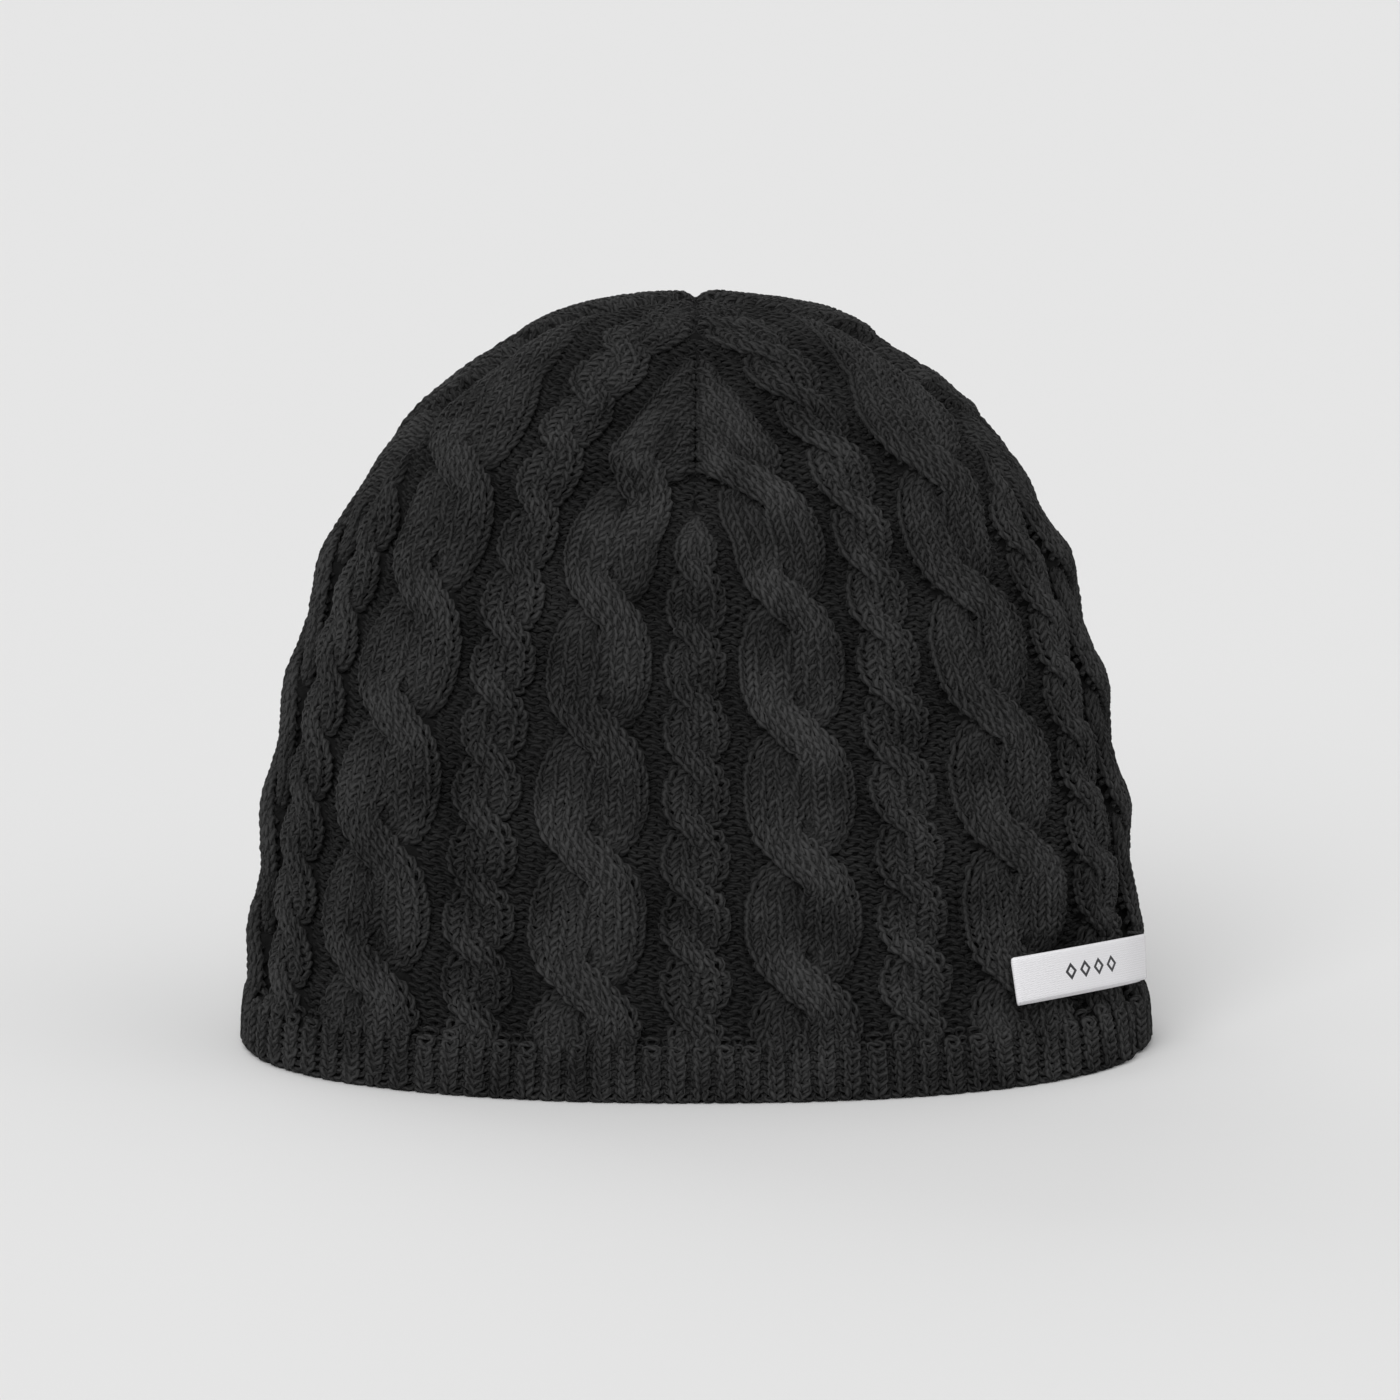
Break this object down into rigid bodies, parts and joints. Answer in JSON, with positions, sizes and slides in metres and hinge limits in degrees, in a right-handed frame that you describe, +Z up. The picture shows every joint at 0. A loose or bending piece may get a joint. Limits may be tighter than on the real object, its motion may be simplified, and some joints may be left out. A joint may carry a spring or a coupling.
{
  "type": "knit beanie",
  "caption": "Cable-knit beanie standing on its rib hem, with a darted crown, a closing seam, a woven flag label outside and a care label inside.",
  "frame": {"origin": "centre of the head opening, in the plane of the hem edge", "axes": "+Z up from the hem to the crown, front towards -Y, +X towards the side with the closing seam and the flag label"},
  "size_m": [0.23, 0.168, 0.1909],
  "materials": {
    "knit": "charcoal wool-blend cable knit, soft and matt",
    "seam_yarn": "charcoal linking yarn",
    "label_thread": "dark sewing thread",
    "flag_tape": "off-white woven satin tape",
    "care_tape": "white printed-label satin, blank"
  },
  "bodies": {
    "hat": {"rib_hem": "knit", "knit_body": "knit", "crown_gore_front_left": "knit", "crown_gore_front_right": "knit", "crown_gore_back_left": "knit", "crown_gore_back_right": "knit", "dart_seam_front": "seam_yarn", "dart_seam_back": "seam_yarn", "dart_seam_left": "seam_yarn", "closing_seam": "seam_yarn", "crown_tie": "seam_yarn", "flag_label_thread": "label_thread", "care_label_thread": "label_thread"},
    "flag_label": {"flag_label": "flag_tape"},
    "care_label": {"care_label": "care_tape"}
  },
  "joints": [
    {"name": "flag_label_hinge", "type": "hinge", "parent": "hat", "child": "flag_label", "pos_m": [0.11227, -0.02182, 0.0265], "axis": [0, 0, 1], "range_deg": [0, 160]},
    {"name": "care_label_hinge", "type": "hinge", "parent": "hat", "child": "care_label", "pos_m": [0.10101, -0.01964, 0.042], "axis": [0, 0, 1], "range_deg": [0, 100]}
  ]
}
